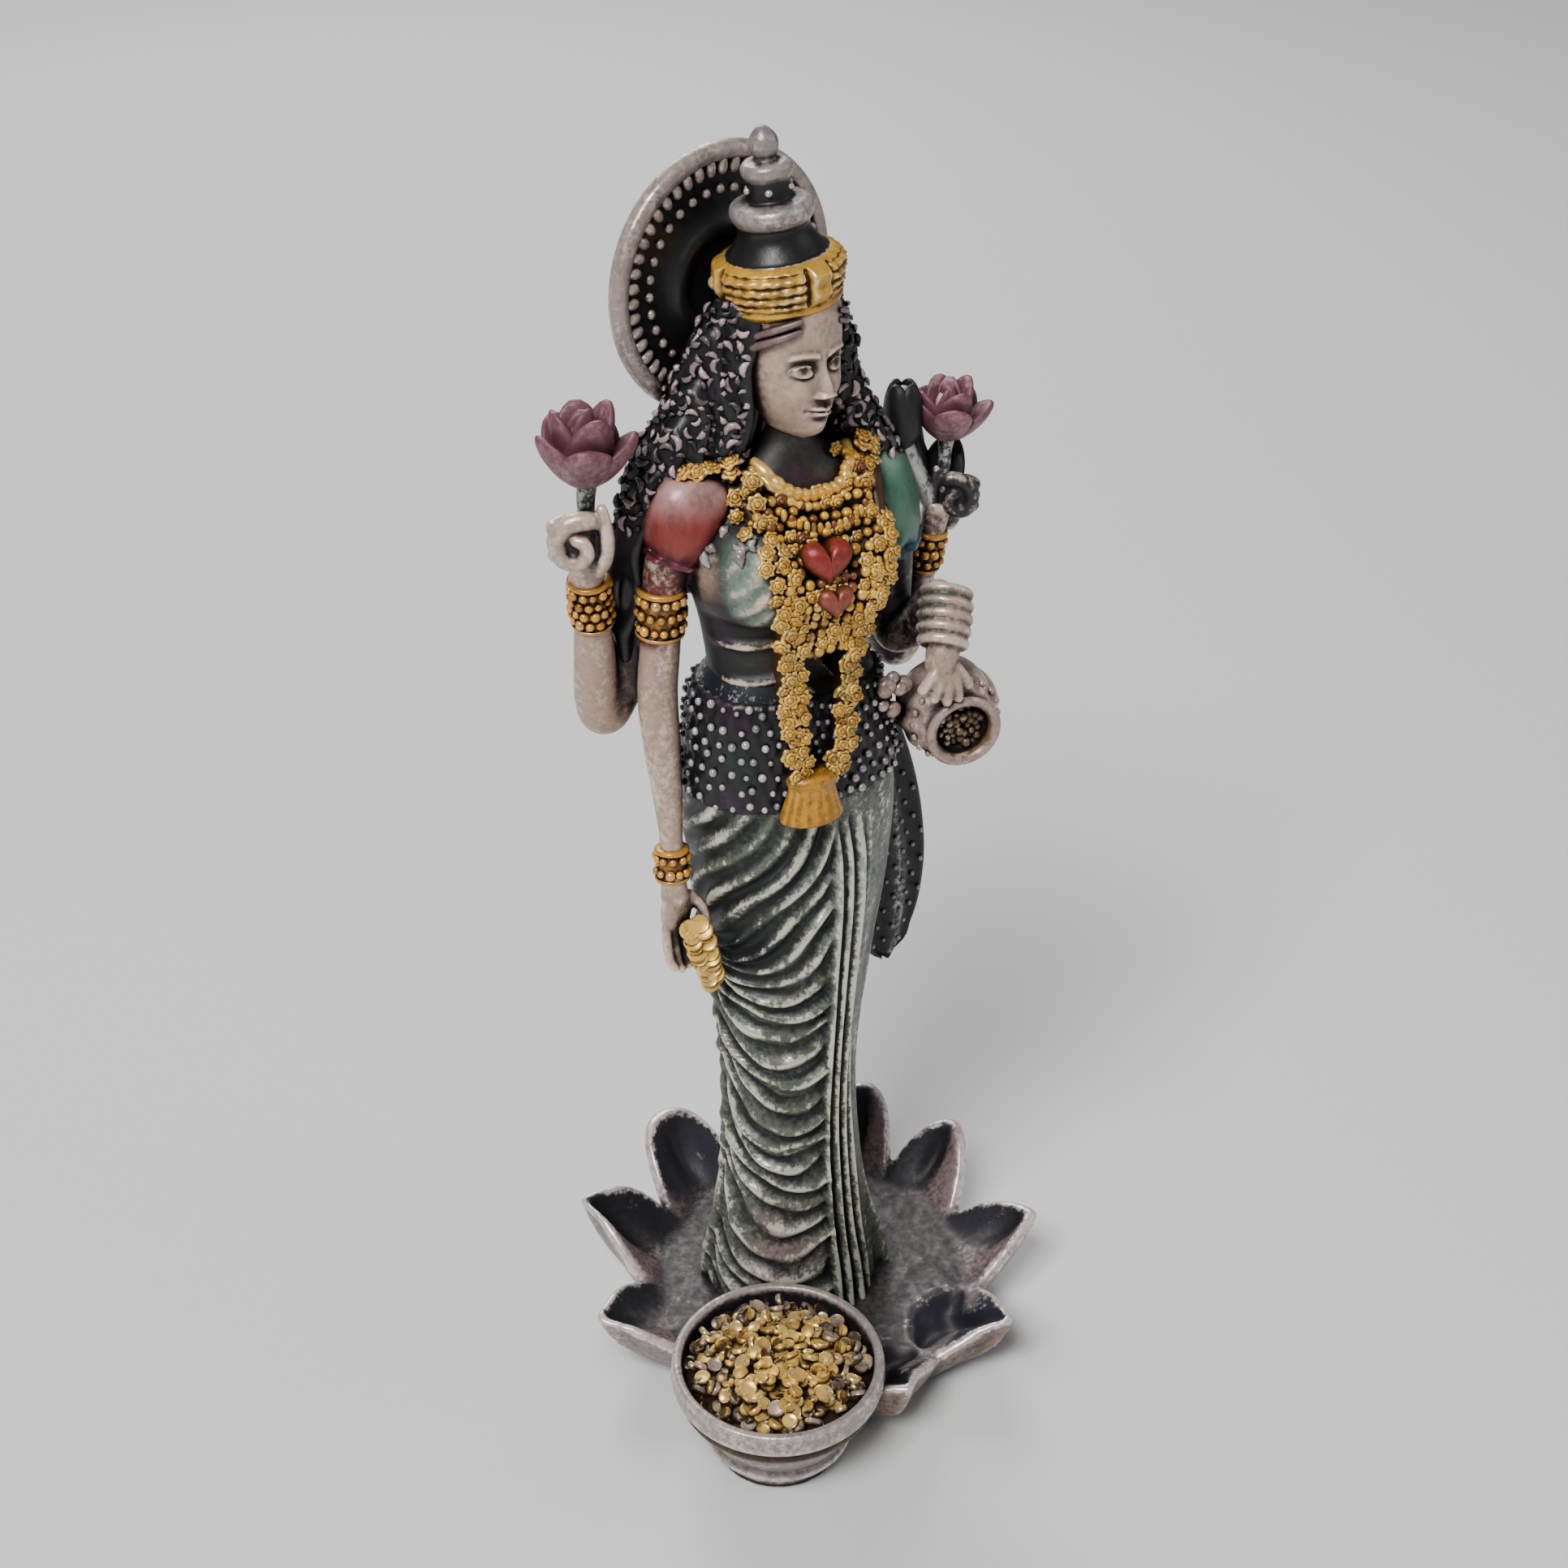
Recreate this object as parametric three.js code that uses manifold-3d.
// A small cast figure of a four-armed goddess who stands on an open lotus, with a bowl of coins
// at the lotus's edge. The figure, its halo, its flowers and pot, the lotus and the bowl are one casting.
// Millimetres, +Z up. The figure faces -Y and its own left is +X. The origin is the middle of the
// lotus on the ground.

import * as THREE from 'three';
import { mergeVertices } from 'three/addons/utils/BufferGeometryUtils.js';
import Module from 'manifold-3d';

const wasm = await Module();
wasm.setup();

const { degToRad: degrees, lerp, smoothstep } = THREE.MathUtils;

// Figure
const figureHeight = 85;
const figureAside = -1.4;
const figureBehind = 1.6;
const headTurn = degrees(12);
const crownLean = degrees(4);

// Lotus
const floorHeight = 3.6;
const floorRadius = 12.0;
const underRadius = 10.4;
const petalAngles = [-93, -56, -18, 19, 46, 73, 106, 142, 178, 214];
const petalReachFront = 14.6;
const petalReachRear = 17.5;
const petalTipFront = 5.8;
const petalTipRear = 8.6;
const petalNotchReach = 13.7;
const petalNotchRise = 0.9;
const petalThickness = 1.2;

// Bowl of coins. It stands that far out from the edge of the lotus's floor.
const bowlAngle = degrees(-129);
const bowlOut = 1.15;
const bowlHeight = 8.1;
const bowlRimRadius = 7.4;
const bowlFootRadius = 4.3;
const bowlLip = 1.7;
const bowlWall = 0.7;
const bowlHeap = 1.0;
const bowlSides = 16;
const coinJolt = 0.4;

// The figure's pose and proportions are in hundredths of its height, from the middle of its feet.
const unit = figureHeight / 100;
const at = (x, y, z) => new THREE.Vector3(x, y, z).multiplyScalar(unit)
  .add(new THREE.Vector3(figureAside, figureBehind, floorHeight));
const frontUnit = (angle) => new THREE.Vector3(Math.sin(angle), -Math.cos(angle), 0);
const bump = (x, middle, spread) => Math.exp(-(((x - middle) / spread) ** 2));

// A value read off a list of [height, value, value, ...] rows, smooth between them.
function profileAt(rows, height) {
  const last = rows.length - 1;
  if (height <= rows[0][0]) return rows[0].slice(1);
  if (height >= rows[last][0]) return rows[last].slice(1);
  const next = rows.findIndex((row) => row[0] > height);
  const share = smoothstep(height, rows[next - 1][0], rows[next][0]);
  return rows[next].slice(1).map((value, i) => lerp(rows[next - 1][i + 1], value, share));
}

// A closed skin over rings of points, with a fan over each end. The quads are cut crosswise in turn, so
// that a point of even place, counted by ring and by column, is the top of a square bead.
function skin(rings) {
  const count = rings[0].length;
  const points = rings.flat();
  const index = [];
  for (let ring = 0; ring < rings.length - 1; ring += 1) {
    for (let i = 0; i < count; i += 1) {
      const a = ring * count + i;
      const b = ring * count + ((i + 1) % count);
      if ((ring + i) % 2 === 0) index.push(a, b, b + count, a, b + count, a + count);
      else index.push(a, b, a + count, b, b + count, a + count);
    }
  }
  for (const [ring, first] of [[rings[0], 0], [rings.at(-1), (rings.length - 1) * count]]) {
    const middle = ring.reduce((sum, point) => sum.add(point), new THREE.Vector3()).divideScalar(count);
    points.push(middle);
    for (let i = 0; i < count; i += 1) {
      const a = first + i;
      const b = first + ((i + 1) % count);
      index.push(...(first === 0 ? [b, a, points.length - 1] : [a, b, points.length - 1]));
    }
  }
  return new THREE.BufferGeometry().setFromPoints(points).setIndex(index);
}

// A solid for joining, from any closed geometry.
function solid(geometry) {
  const bare = geometry.clone();
  bare.deleteAttribute('normal');
  bare.deleteAttribute('uv');
  const merged = mergeVertices(bare, 1e-4);
  const position = merged.attributes.position;
  const corners = [0, 1, 2].map(() => new THREE.Vector3());
  const triangles = [];
  let volume = 0;
  for (let i = 0; i < merged.index.count; i += 3) {
    const ids = [0, 1, 2].map((k) => merged.index.getX(i + k));
    if (new Set(ids).size < 3) continue;
    triangles.push(ids);
    corners.forEach((corner, k) => corner.fromBufferAttribute(position, ids[k]));
    volume += corners[0].dot(corners[1].clone().cross(corners[2]));
  }
  if (volume < 0) triangles.forEach((ids) => ids.reverse());
  return new wasm.Manifold(new wasm.Mesh({
    numProp: 3,
    vertProperties: new Float32Array(position.array),
    triVerts: new Uint32Array(triangles.flat()),
  }));
}

// A limb, lock or stem: a round ring at each point [x, y, z, radius], square to the way the points run.
function limb(points, sides) {
  const centres = points.map(([x, y, z]) => at(x, y, z));
  const normal = new THREE.Vector3(1, 0.2, 0);
  return skin(centres.map((centre, i) => {
    const before = centres[Math.max(i - 1, 0)];
    const after = centres[Math.min(i + 1, centres.length - 1)];
    const along = after.clone().sub(before).normalize();
    normal.addScaledVector(along, -normal.dot(along)).normalize();
    const binormal = along.clone().cross(normal);
    const radius = points[i][3] * unit;
    return Array.from({ length: sides }, (_, side) => {
      const angle = (side / sides) * 2 * Math.PI;
      const aside = binormal.clone().multiplyScalar(radius * Math.sin(angle));
      return centre.clone().addScaledVector(normal, radius * Math.cos(angle)).add(aside);
    });
  }));
}

// A turned shape: its profile is [radius, height] pairs along the given axis.
function turned(profile, sides, centre, axis = new THREE.Vector3(0, 0, 1)) {
  const outline = profile.map(([radius, height]) => new THREE.Vector2(radius, height));
  const geometry = new THREE.LatheGeometry(outline, sides);
  geometry.applyQuaternion(new THREE.Quaternion().setFromUnitVectors(new THREE.Vector3(0, 1, 0), axis));
  return geometry.translate(centre.x, centre.y, centre.z);
}

// An egg-shaped swelling, with its half sizes in the figure's units.
function swelling(centre, halfSizes, sides, rows) {
  const geometry = new THREE.SphereGeometry(1, sides, rows);
  geometry.rotateX(Math.PI / 2);
  geometry.scale(...halfSizes.map((half) => half * unit));
  return geometry.translate(centre.x, centre.y, centre.z);
}

// An open flower as one cup: a wall that rises from its foot to a rim of pointed petals, and a floor inside.
// The petals stand at the given angles, and tip and notch give [reach, height] of the rim there. The wall's
// rows are [share of the way out to the rim, share of the way up to it], first outside, then inside.
const wallOutside = [[0, 0], [0.55, 0.22], [0.88, 0.6], [1, 1]];
const wallInside = [[1, 1], [0.5, 0.25], [0, 0]];
const petalSharpness = 1.3;
const petalInset = 0.3;

function flowerCup(middle, petals, phases, foot, floor, tip, notch, thickness) {
  const columns = petals.flatMap((centre, i) => {
    const before = i === 0 ? petals.at(-1) - 2 * Math.PI : petals[i - 1];
    const after = i === petals.length - 1 ? petals[0] + 2 * Math.PI : petals[i + 1];
    return phases.map((phase) => {
      const half = phase < 0 ? (centre - before) / 2 : (after - centre) / 2;
      const angle = centre + half * phase;
      const open = 1 - Math.abs(phase) ** petalSharpness;
      const [reach, height] = tip(angle).map((value, k) => lerp(notch[k], value, open));
      return { angle, reach, height, inset: Math.abs(phase) * petalInset * thickness };
    });
  });
  const ring = (place) => columns.map((column) => {
    const [radius, rise] = place(column);
    const across = new THREE.Vector3(radius * Math.cos(column.angle), radius * Math.sin(column.angle), rise);
    return across.add(middle);
  });
  return skin([
    ...wallOutside.map(([share, climb]) => ring(({ reach, height, inset }) => [
      lerp(foot[0], reach, share) - 4 * share * (1 - share) * inset,
      lerp(foot[1], height, climb),
    ])),
    ...wallInside.map(([share, climb]) => ring(({ reach, height }) => [
      lerp(floor[0], reach - thickness, share), lerp(floor[1], height, climb),
    ])),
  ]);
}

// Draped legs: [height, half width, half depth, shift aside, shift back]
const drapeRows = [
  [-1.5, 9.4, 7.6, 1.4, 0.4], [2, 9.0, 7.2, 1.4, 0.4], [7, 7.3, 6.1, 1.0, 0.3], [15, 6.2, 5.6, 0.5, 0.2],
  [24, 6.0, 5.5, 0.3, 0.2], [34, 7.0, 6.0, 0.2, 0.1], [43, 8.2, 6.5, 0.3, 0.1], [49, 8.6, 6.4, 0.3, 0],
  [55, 7.9, 5.8, 0.1, 0], [60, 6.9, 5.0, 0, 0], [63, 5.4, 3.6, 0, 0],
];
const drapeSquareness = 2.3;
const foldSpacing = 4.7;
const foldDepth = 0.5;
const foldSag = 2.6;
const foldTop = 44;
const legSide = degrees(-24);
const legSpread = degrees(42);
const legBulge = 0.7;
const thighSway = 1.6;
const pleatSide = degrees(20);
const pleatHalf = degrees(15);
const pleatStand = 0.7;
const pleatDepth = 0.5;
const pleatTop = 47;
const pleatColumns = 6;
const backSide = degrees(230);
const sideColumns = 10;
const beltBead = 0.55;
const beltHeights = [52.2, 53.8, 55.4, 57, 58.6];

function drapeAngles() {
  const spread = (count, from, to) => Array.from({ length: count }, (_, i) => lerp(from, to, i / count));
  const pleatStart = pleatSide - pleatHalf;
  const pleatEnd = pleatSide + pleatHalf;
  return [
    ...spread(pleatColumns, pleatStart, pleatEnd), ...spread(sideColumns, pleatEnd, backSide),
    ...spread(sideColumns, backSide, pleatStart + 2 * Math.PI),
  ];
}

// A point of the drape. Swags hang from the hips over the right leg, and a fall of pleats stands out
// beside them.
function drapePoint(row, column, angle, height, ridge) {
  const onLeg = bump(angle > Math.PI ? angle - 2 * Math.PI : angle, legSide, legSpread);
  const onPleats = column < pleatColumns ? 1 : 0;
  const inFolds = smoothstep(height, 1, 6) * (1 - smoothstep(height, foldTop, foldTop + 4));
  const onThigh = smoothstep(height, 30, 36) * (1 - smoothstep(height, 44, 50));
  const level = height - foldSag * onLeg * inFolds + thighSway * Math.sin(angle) * onThigh;
  const [halfWidth, halfDepth, aside, back] = profileAt(drapeRows, level);
  const reach = ((Math.abs(Math.sin(angle)) / halfWidth) ** drapeSquareness
    + (Math.abs(Math.cos(angle)) / halfDepth) ** drapeSquareness) ** (-1 / drapeSquareness);
  const fold = (ridge ? foldDepth : -foldDepth) * inFolds * (1 - onPleats) * lerp(0.35, 1, onLeg);
  const pleated = 1 - smoothstep(height, pleatTop - 6, pleatTop + 2);
  const pleat = onPleats * pleated * (pleatStand + (column % 2 ? pleatDepth : -pleatDepth));
  const beltRow = beltHeights.indexOf(height);
  const belt = beltRow % 2 === 0 && (row + column) % 2 === 0 ? beltBead : 0;
  const out = frontUnit(angle).multiplyScalar(reach + legBulge * onLeg * inFolds + fold + pleat + belt);
  return at(out.x + aside, out.y + back, level);
}

function drape() {
  const angles = drapeAngles();
  const rows = [[-1.5, 0], [1, 1], [3, 0]];
  for (let height = 5; height < foldTop; height += foldSpacing / 2) rows.push([height, rows.length % 2]);
  rows.push([foldTop + 2.5, 0], [foldTop + 5.5, 1], ...beltHeights.map((height) => [height, 0]));
  rows.push([60.5, 0], [63, 0]);
  const ring = ([height, ridge], row) => angles.map((angle, i) => drapePoint(row, i, angle, height, ridge));
  return skin(rows.map(ring));
}

// Body above the hips: [height, half width, half depth, shift back]
const bodyRows = [
  [57, 6.4, 4.4, 0], [60, 6.3, 4.6, 0], [65, 6.9, 4.8, 0.1], [70, 7.9, 4.9, 0.2], [73.8, 8.4, 4.4, 0.4],
  [76.3, 7.0, 3.6, 0.5], [77.8, 3.6, 3.0, 0.3], [79.2, 2.5, 2.5, 0], [83, 2.4, 2.4, -0.2],
];

const bodySides = 12;

function body() {
  return skin([57, 61, 65, 68.5, 71.5, 74, 76.3, 77.2, 79.2, 83].map((height) => {
    const [halfWidth, halfDepth, back] = profileAt(bodyRows, height);
    return Array.from({ length: bodySides }, (_, i) => {
      const angle = (i / bodySides) * 2 * Math.PI;
      return at(halfWidth * Math.sin(angle), back - halfDepth * Math.cos(angle), height);
    });
  }));
}

// Head: rings of the skull with a plain face pushed out of them. Heights are above the chin.
const headMiddle = [-0.4, -0.4, 80.2];
const headRows = [
  [-0.6, 0.7, 1.9, 1.6], [0.3, 1.7, 3.1, 2.2], [1.6, 2.5, 3.5, 2.9], [3.2, 3.0, 3.6, 3.3],
  [5.0, 3.25, 3.6, 3.6], [7.0, 3.3, 3.6, 3.8], [8.6, 3.2, 3.4, 3.7], [10.2, 2.6, 2.8, 3.1],
  [11.4, 1.4, 1.5, 1.8],
];

// How far a plain, evenly made face stands out of the skull at a place.
function facePush(x, height) {
  const side = Math.abs(x);
  const noseHeight = smoothstep(height, 2.35, 2.75) * (1 - smoothstep(height, 2.8, 5.2));
  const nose = 1.15 * bump(x, 0, 0.5) * noseHeight;
  const bridge = bump(x, 0, 0.45) * bump(height, 4.6, 1.0) * 0.25;
  const socket = -0.42 * bump(side, 1.35, 0.75) * bump(height, 4.75, 0.55);
  const lid = 0.24 * bump(side, 1.35, 0.5) * bump(height, 4.55, 0.3);
  const brow = 0.16 * bump(side, 1.3, 0.9) * bump(height, 5.6, 0.4);
  const lips = 0.34 * bump(x, 0, 0.85) * bump(height, 1.5, 0.38);
  const chin = 0.3 * bump(x, 0, 0.8) * bump(height, 0.35, 0.5);
  const cheek = 0.14 * bump(side, 1.9, 0.8) * bump(height, 2.9, 0.9);
  return nose + bridge + socket + lid + brow + lips + chin + cheek;
}

function head() {
  const heights = [-0.6, 0, 0.5, 1.0, 1.5, 2.1, 2.75, 3.6, 4.4, 4.9, 5.6, 7.0, 9.5];
  const angles = [0, 9, 18, 28, 42, 60, 85, 120, 160];
  const around = [...angles, ...angles.slice(1).reverse().map((angle) => 360 - angle)].map(degrees);
  return skin(heights.map((height) => around.map((angle) => {
    const [halfWidth, front, behind] = profileAt(headRows, height);
    const x = halfWidth * Math.sin(angle);
    const facing = Math.cos(angle);
    const depth = facing > 0 ? front * facing + facePush(x, height) * facing : behind * facing;
    const local = new THREE.Vector3(x, -depth, 0).applyAxisAngle(new THREE.Vector3(0, 0, 1), headTurn);
    return at(headMiddle[0] + local.x, headMiddle[1] + local.y, headMiddle[2] + height);
  })));
}

// Crown: a ribbed band, two discs on narrow necks and a knob, [radius, height above its lower edge]
const crownFoot = [-0.7, 0.1, 87.2];
const crownRows = [
  [0, -0.2], [4.0, 0], [4.3, 0.8], [4.1, 1.2], [4.6, 2.0], [4.4, 2.4], [5.0, 3.3], [4.7, 4.2], [2.0, 4.8],
  [1.9, 6.4], [3.1, 7.0], [2.9, 8.0], [1.3, 8.4], [1.2, 9.2], [1.75, 9.8], [1.6, 10.5], [0.7, 10.8],
  [1.15, 11.7], [0, 12.8],
];
const crownSides = 10;
const crownAxis = new THREE.Vector3(0, Math.sin(crownLean), Math.cos(crownLean));

function crown() {
  const profile = crownRows.map(([radius, height]) => [radius * unit, height * unit]);
  return turned(profile, crownSides, at(...crownFoot), crownAxis);
}

// Halo: a dished disc with a thick rim behind the head, [radius, distance forward]
const haloMiddle = [-2.7, 4.6, 89.2];
const haloRadius = 9.4;
const haloRows = [
  [0.85, -0.7], [1, -0.1], [0.97, 0.8], [0.87, 0.7], [0.84, 0.2], [0.75, 0.2], [0.65, 0.1], [0.5, 0.7],
  [0.38, 0.2],
];
const haloBeadRow = 5;
const haloBeadLift = 0.75;
const haloBeads = 14;
const haloAxis = frontUnit(headTurn);

function halo() {
  const across = new THREE.Vector3(0, 0, 1).cross(haloAxis);
  const rings = haloRows.map(([radius, forward], row) => Array.from({ length: 2 * haloBeads }, (_, i) => {
    const angle = (i / (2 * haloBeads)) * 2 * Math.PI;
    const lift = row === haloBeadRow && i % 2 ? haloBeadLift : 0;
    return at(...haloMiddle).addScaledVector(haloAxis, (forward + lift) * unit)
      .addScaledVector(across, radius * haloRadius * unit * Math.cos(angle))
      .add(new THREE.Vector3(0, 0, radius * haloRadius * unit * Math.sin(angle)));
  }));
  return skin(rings);
}

// Arms, each point [x, y, z, radius]. The pairs of thick rings are armlets and bracelets.
const arms = {
  frontRight: [
    [-6.9, 0.4, 75, 2.2], [-9.0, 0.5, 72, 2.1], [-9.5, 0.75, 68, 1.9], [-9.5, 0.8, 67.4, 2.5],
    [-9.5, 0.9, 64.4, 2.4], [-9.45, 1.0, 63.8, 1.65], [-9.4, 1.2, 59.5, 1.6], [-9.9, 0, 52.5, 1.45],
    [-10.15, -0.8, 49, 1.25], [-10.2, -0.9, 48.7, 1.8], [-10.25, -1.1, 46.4, 1.75], [-10.3, -1.2, 46, 1.1],
  ],
  frontLeft: [
    [6.9, 0.4, 74, 2.2], [9.0, 1.0, 70, 2.0], [9.7, 1.5, 66.4, 1.8], [9.8, 1.6, 66, 2.3],
    [9.9, 1.9, 63.6, 2.2], [9.9, 2.0, 63.2, 1.6], [9.8, 1.2, 59.2, 1.7], [9.9, -2.2, 60.6, 1.45],
    [9.95, -3, 61.2, 2.0], [10, -4.4, 62.6, 1.9],
  ],
  rearRight: [
    [-5, 2.6, 73.5, 2.2], [-9.6, 4.0, 66, 1.9], [-12.6, 4.4, 57.6, 1.8], [-13.4, 3.8, 59.4, 1.9],
    [-14.2, 2.6, 65.6, 1.4], [-14.3, 2.5, 66, 2.0], [-14.7, 1.9, 68.8, 1.95], [-14.8, 1.8, 69.2, 1.2],
    [-15.4, 1.0, 73, 1.1],
  ],
  rearLeft: [
    [5, 2.6, 72.5, 2.2], [9.4, 4.2, 65, 1.9], [12.1, 4.7, 57, 1.8], [12.6, 4.2, 58.6, 1.8],
    [13.0, 3.1, 63.4, 1.4], [13.1, 3.0, 63.8, 2.0], [13.4, 2.3, 66.6, 1.95], [13.4, 2.2, 67, 1.2],
    [13.8, 1.4, 70.5, 1.1],
  ],
};

const sleeves = [[[-8.1, 0.3, 73.5], [3.1, 3.0, 3.4]], [[8.4, 0.6, 71.8], [3.0, 3.0, 3.4]]];
const breasts = [[-4.2, -3.7, 69.6], [3.9, -3.7, 69.2]];

// A closed hand: a barrel whose front is rolled into four fingers. Size is half its width.
const fistSides = 8;
const fistRows = 8;
const fingerStand = 0.16;
const fistTurn = new THREE.Euler(degrees(15), 0, 0);

function fist(centre, size) {
  const middle = at(...centre);
  return skin(Array.from({ length: fistRows + 1 }, (_, row) => {
    const height = 1 - (2 * row) / fistRows;
    const round = Math.sqrt(1 - 0.85 * height ** 2);
    return Array.from({ length: fistSides }, (_unused, i) => {
      const angle = (i / fistSides) * 2 * Math.PI;
      const finger = Math.cos(angle) > 0.1 && row % 2 ? fingerStand : 0;
      const out = frontUnit(angle).multiplyScalar(round + finger);
      out.z = height;
      return out.multiplyScalar(size * unit).applyEuler(fistTurn).add(middle);
    });
  }));
}

// The open right hand, palm forward: a mitten whose front is parted into four fingers,
// [height, half width, half depth] from the middle of the palm
const palm = [-10.2, -1.6, 43.6];
const palmRows = [
  [2.2, 1.1, 0.9], [1, 1.5, 0.9], [-0.6, 1.7, 0.85], [-2, 1.6, 0.7], [-3.4, 1.35, 0.6], [-4.6, 0.8, 0.35],
];
const palmSides = 12;
const fingerRow = 3;
const fingerGroove = 0.75;

function openHand() {
  const rings = palmRows.map(([height, halfWidth, halfDepth], row) => {
    const bend = 0.15 * Math.max(0, -height - 1);
    return Array.from({ length: palmSides }, (_, i) => {
      const angle = (i / palmSides) * 2 * Math.PI;
      const groove = row >= fingerRow && i % 2 && Math.cos(angle) > 0 ? fingerGroove : 1;
      return at(palm[0] + halfWidth * groove * Math.sin(angle) - 0.12 * height,
        palm[1] - halfDepth * groove * Math.cos(angle) - bend, palm[2] + height);
    });
  });
  const thumb = [[palm[0] + 1.2, palm[1] - 0.2, 45, 0.5], [palm[0] + 2.2, palm[1] - 0.9, 42, 0.4]];
  return [skin(rings), limb(thumb, 5)];
}

// Coins that fall from the hand in a strip, cast against the drape. The rows are coins' middles and edges.
const coinStripTop = [-9.8, -2.6, 43];
const coinStripFoot = [-7.4, -2.6, 36];
const coinStripRows = 10;

function fallingCoins() {
  return skin(Array.from({ length: coinStripRows + 1 }, (_, row) => {
    const [x, y, z] = coinStripTop.map((top, k) => lerp(top, coinStripFoot[k], row / coinStripRows));
    const onCoin = row % 2;
    const half = onCoin ? 1.5 : 0.9;
    return Array.from({ length: 6 }, (_unused, i) => {
      const angle = (i / 6) * 2 * Math.PI;
      return at(x + half * Math.cos(angle), y + 0.9 * Math.sin(angle) - 0.3 * onCoin, z);
    });
  }));
}

// A lotus flower held up in a rear hand: an open cup of petals round a bud, on a short stem. The cup's
// [reach, height] pairs are from the middle of the flower.
const flowerPetals = Array.from({ length: 6 }, (_, i) => degrees(i * 60 + 20));
const flowerPhases = [-1, -0.3, 0.3];
const flowerFoot = [0.9 * unit, -2.7 * unit];
const flowerFloor = [1.2 * unit, -0.4 * unit];
const flowerTip = [3.9 * unit, 2.3 * unit];
const flowerNotch = [3.2 * unit, 0.7 * unit];
const flowerThickness = 0.7 * unit;
const flowerBud = [1.8, 1.8, 2.9];

function heldFlower(foot, middle) {
  const centre = at(...middle);
  return [
    limb([[...foot, 0.55], [...middle, 0.9]], 5),
    flowerCup(centre, flowerPetals, flowerPhases, flowerFoot, flowerFloor, () => flowerTip, flowerNotch,
      flowerThickness),
    swelling(centre, flowerBud, 6, 4),
  ];
}

// The pot in the front left hand, tilted with its mouth outward, [radius, height along its axis]
const potMiddle = [10.4, -4.6, 57.2];
const potAxis = new THREE.Vector3(0.5, -0.62, -0.1).normalize();
const potRows = [
  [0, -4.0], [2.2, -3.7], [3.9, -2.2], [4.3, -0.4], [3.7, 1.2], [2.8, 2.2], [3.9, 3.0], [3.8, 3.6],
  [2.9, 3.5], [2.2, 1.4], [0, 1.0],
];
const potSides = 12;

function pot() {
  const profile = potRows.map(([radius, height]) => [radius * unit, height * unit]);
  return turned(profile, potSides, at(...potMiddle), potAxis);
}

// Locks of hair from the crown over the shoulders, and the mass of it behind the neck.
function hair() {
  const pieces = [swelling(at(-0.4, 3.2, 79.5), [5.0, 2.7, 7.8], 8, 6)];
  for (const side of [-1, 1]) {
    for (let lock = 0; lock < 2; lock += 1) {
      const out = lock * 1.3;
      const back = lock * 1.6;
      pieces.push(limb([
        [side * 3.1 - 0.5, 0.6 + back, 87, 0.9], [side * (3.4 + out * 0.3) - 0.4, 1.2 + back, 83.4, 1.3],
        [side * (4.0 + out * 0.8) - 0.3, 1.2 + back, 80, 1.4], [side * (5.6 + out), 0.8 + back, 77.4, 1.3],
        [side * (6.6 + out), -0.2 + back, 75, 0.9],
      ], 5));
    }
  }
  return pieces;
}

// A chain of flowers or beads along a path: a cord that swells at each one.
function chain(points, count, radius) {
  const curve = new THREE.CatmullRomCurve3(points.map(([x, y, z]) => at(x, y, z)));
  const steps = 2 * count;
  const frames = curve.computeFrenetFrames(steps);
  return skin(Array.from({ length: steps + 1 }, (_, step) => Array.from({ length: 5 }, (_unused, side) => {
    const angle = (side / 5) * 2 * Math.PI;
    const reach = radius * unit * (step % 2 ? 1 : 0.62);
    return curve.getPointAt(step / steps).addScaledVector(frames.normals[step], reach * Math.cos(angle))
      .addScaledVector(frames.binormals[step], reach * Math.sin(angle));
  })));
}

// The garland over both shoulders, the collar, its heart and the pendant where the garland's ends meet.
const garlandFlowers = 9;
const garlands = [
  [
    [-6.2, 0.4, 77.6], [-5.8, -3.0, 75], [-5.0, -5.6, 71.4], [-3.2, -6.6, 67], [-2.6, -5.6, 61],
    [-2.5, -6.2, 55.5], [-1.6, -7.0, 51.6],
  ],
  [
    [6.2, 0.4, 76.4], [5.8, -3.0, 74], [5.2, -5.6, 70.6], [3.6, -6.6, 66.6], [2.4, -5.6, 61],
    [2.3, -6.2, 55.5], [1.6, -7.0, 51.6],
  ],
];
const collar = [[-4.4, -2.4, 77], [-2.8, -4.4, 75], [0.1, -5.3, 73.6], [3.0, -4.4, 75], [4.4, -2.4, 76.6]];
const collarBeads = 6;

function ornaments() {
  return [
    ...garlands.map((path) => chain(path, garlandFlowers, 1.3)),
    chain(collar, collarBeads, 1.25),
    swelling(at(0.2, -5.4, 71.2), [1.9, 1.1, 2.0], 7, 5),
    swelling(at(0.1, -6.4, 50.4), [1.9, 1.0, 2.6], 6, 4),
  ];
}

// The end of the sash, a flat tongue of cloth that hangs behind the left hip, [height, middle, half width]
const sashRows = [
  [57, 7.2, 1.6], [50, 9.6, 2.2], [43, 10.9, 2.6], [37, 11.2, 2.7], [32, 10.6, 2.3], [29.4, 10.2, 1.3],
];
const sashBack = 2.2;
const sashHalfDepth = 1.1;
const sashSides = 8;

function sashEnd() {
  return skin(sashRows.map(([height, middle, half]) => Array.from({ length: sashSides }, (_, i) => {
    const angle = (i / sashSides) * 2 * Math.PI;
    return at(middle + half * Math.cos(angle), sashBack + sashHalfDepth * Math.sin(angle), height);
  })));
}

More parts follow.
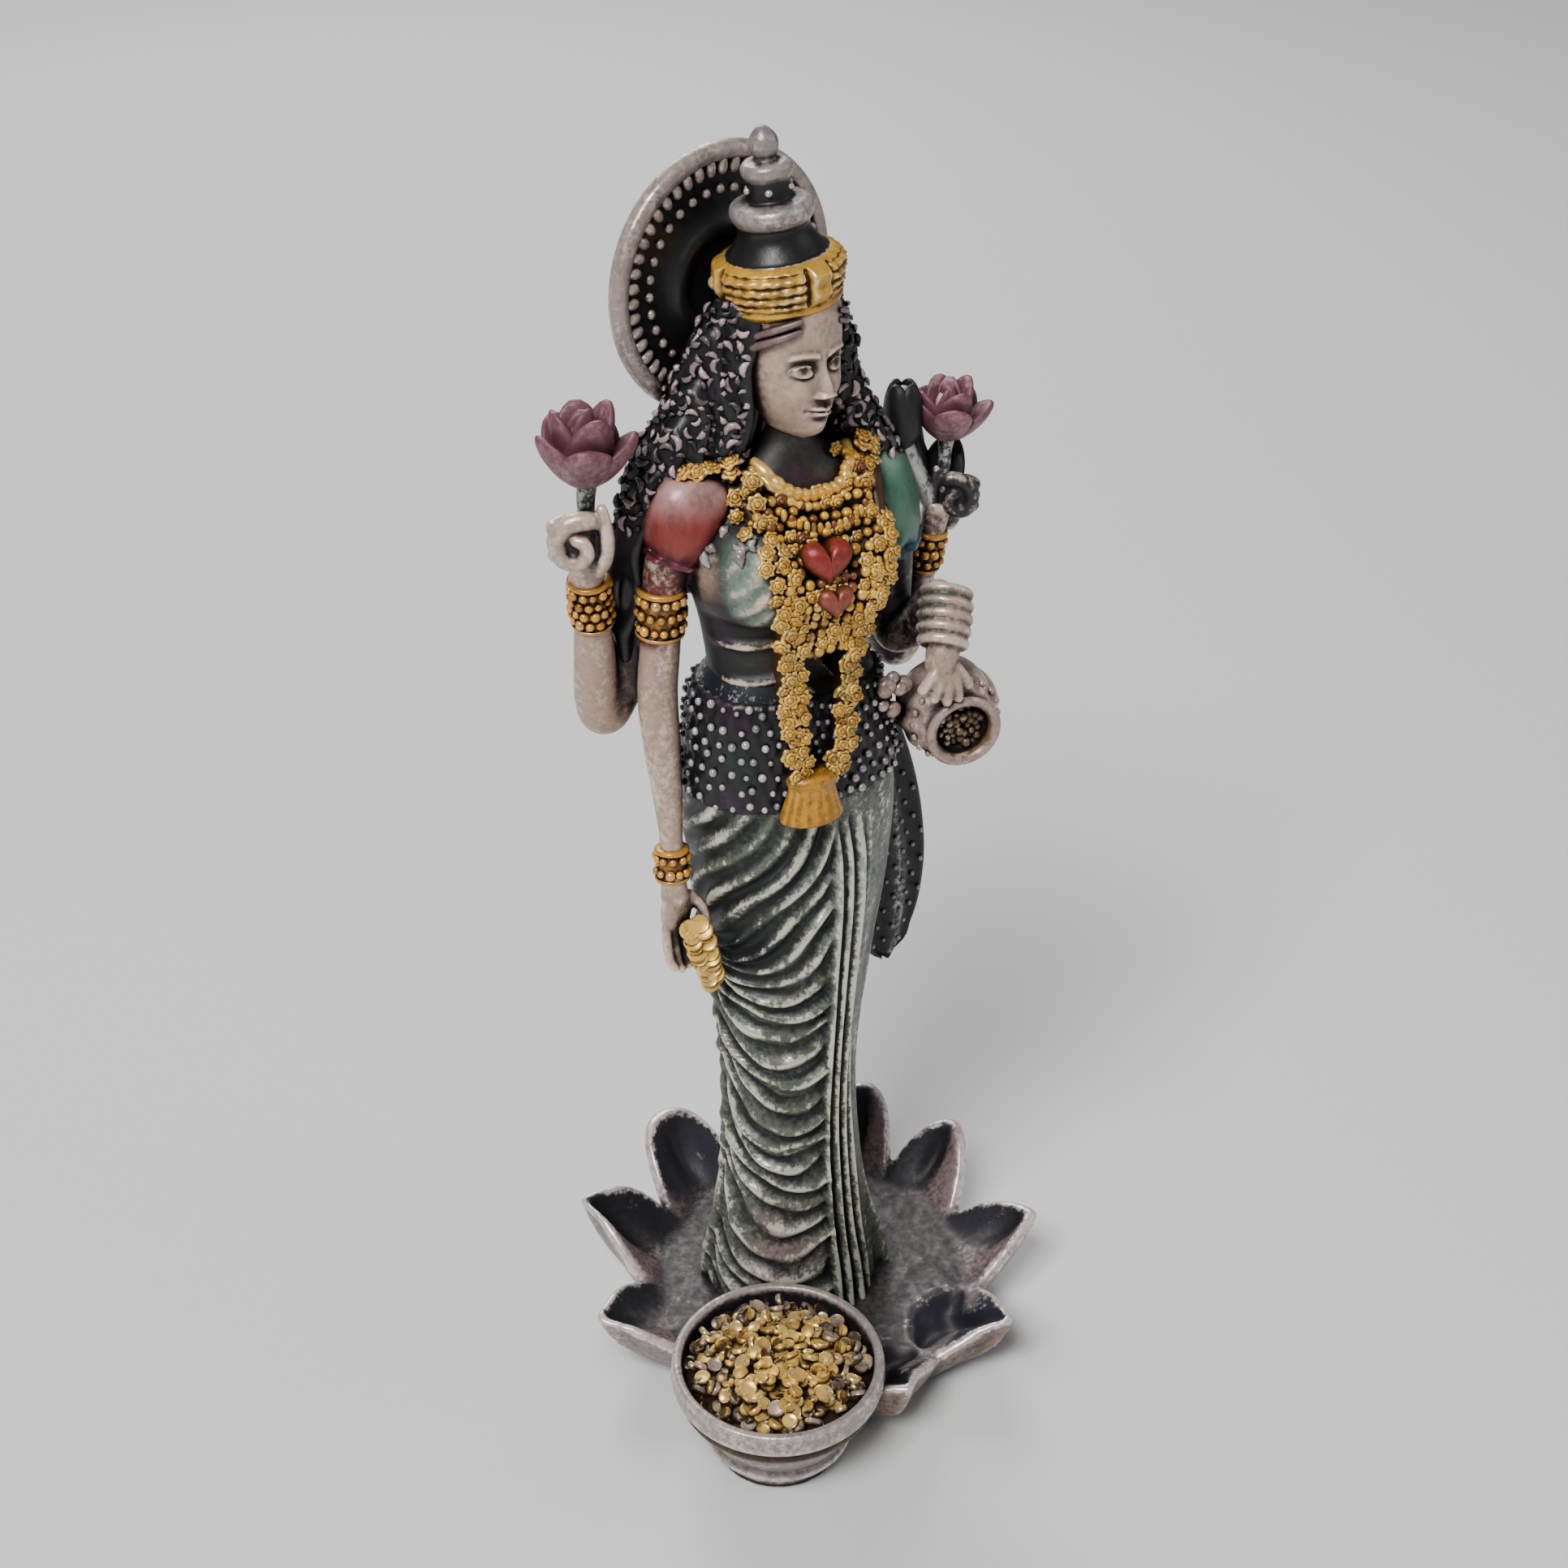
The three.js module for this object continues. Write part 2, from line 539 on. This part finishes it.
function figure() {
  const rightFist = [-15.7, 0.6, 74];
  const leftFist = [13.9, 1.2, 71.2];
  return [
    drape(), body(), head(), crown(), halo(), ...hair(),
    ...Object.values(arms).map((points) => limb(points, 6)),
    ...sleeves.map(([centre, halves]) => swelling(at(...centre), halves, 8, 6)),
    ...breasts.map((centre) => swelling(at(...centre), [2.9, 2.6, 2.8], 8, 5)),
    fist(rightFist, 2.2), ...heldFlower(rightFist, [-15.2, 0.6, 80.2]),
    fist(leftFist, 2.1), ...heldFlower(leftFist, [13.2, 1.2, 77]),
    fist([10.1, -5.6, 64.2], 2.4), pot(), ...openHand(), fallingCoins(), sashEnd(), ...ornaments(),
  ];
}

// The lotus that the figure stands on
function lotus() {
  const tip = (angle) => {
    const rear = (1 + Math.sin(angle)) / 2;
    return [
      lerp(petalReachFront, petalReachRear, rear ** 0.6),
      lerp(petalTipFront, petalTipRear, rear),
    ];
  };
  const notch = [petalNotchReach, floorHeight + petalNotchRise];
  const phases = [-1, -0.55, -0.2, 0.2, 0.55];
  const foot = [underRadius, 0];
  const floor = [floorRadius, floorHeight];
  const petals = petalAngles.map((angle) => degrees(angle));
  return flowerCup(new THREE.Vector3(), petals, phases, foot, floor, tip, notch, petalThickness);
}

// The bowl, filled with a heap of coins, whose facets tip this way and that. The wall's rows are
// [share of the way from the foot's radius to the rim's, share of the height of the lip's lower edge].
const bowlWallRows = [[0, 0], [0.05, 0.12], [0.24, 0.3], [0.48, 0.58], [0.76, 0.97], [1, 1.02]];
const heapRows = [0.78, 0.56, 0.34, 0.14];

function bowl() {
  const reach = floorRadius + bowlOut;
  const foot = new THREE.Vector3(reach * Math.cos(bowlAngle), reach * Math.sin(bowlAngle), 0);
  const lipFoot = bowlHeight - bowlLip;
  const fill = bowlHeight - bowlLip * 0.6;
  const inside = bowlRimRadius - bowlWall;
  const wall = [
    ...bowlWallRows.map(([out, up]) => [lerp(bowlFootRadius, bowlRimRadius, out), lipFoot * up]),
    [bowlRimRadius, bowlHeight], [inside, bowlHeight], [inside, fill],
  ];
  const heap = heapRows.map((share) => [share * bowlRimRadius, fill + bowlHeap * (1 - share ** 2)]);
  return skin([...wall, ...heap].map(([radius, height], row) => Array.from({ length: bowlSides }, (_, i) => {
    const heapRow = Math.max(0, row + 1 - wall.length);
    const angle = ((i + heapRow / 2) / bowlSides) * 2 * Math.PI;
    const jolt = heapRow > 0 ? coinJolt * Math.sin(i * i * 1.3 + heapRow * 4.1) : 0;
    return new THREE.Vector3(radius * Math.cos(angle), radius * Math.sin(angle), height + jolt).add(foot);
  })));
}

// One casting. Slits that close up where two forms cross are shells that hold less than nothing, and are
// left out, which fills them.
const joined = [lotus(), bowl(), ...figure()].map(solid).reduce((whole, piece) => whole.add(piece));
const shells = joined.decompose().filter((shell) => shell.volume() > 0);
const casting = shells.reduce((whole, shell) => whole.add(shell));
const mesh = casting.getMesh();
const geometry = new THREE.BufferGeometry();
geometry.setAttribute('position', new THREE.BufferAttribute(new Float32Array(mesh.vertProperties), 3));
geometry.setIndex(new THREE.BufferAttribute(new Uint32Array(mesh.triVerts), 1));
geometry.computeVertexNormals();

const resin = new THREE.MeshStandardMaterial({ color: 0x8a7f78, roughness: 0.5, metalness: 0.35 });
const figureMesh = new THREE.Mesh(geometry, resin);
figureMesh.name = 'lakshmi_figure';

const part = new THREE.Group();
part.add(figureMesh);

export default part;
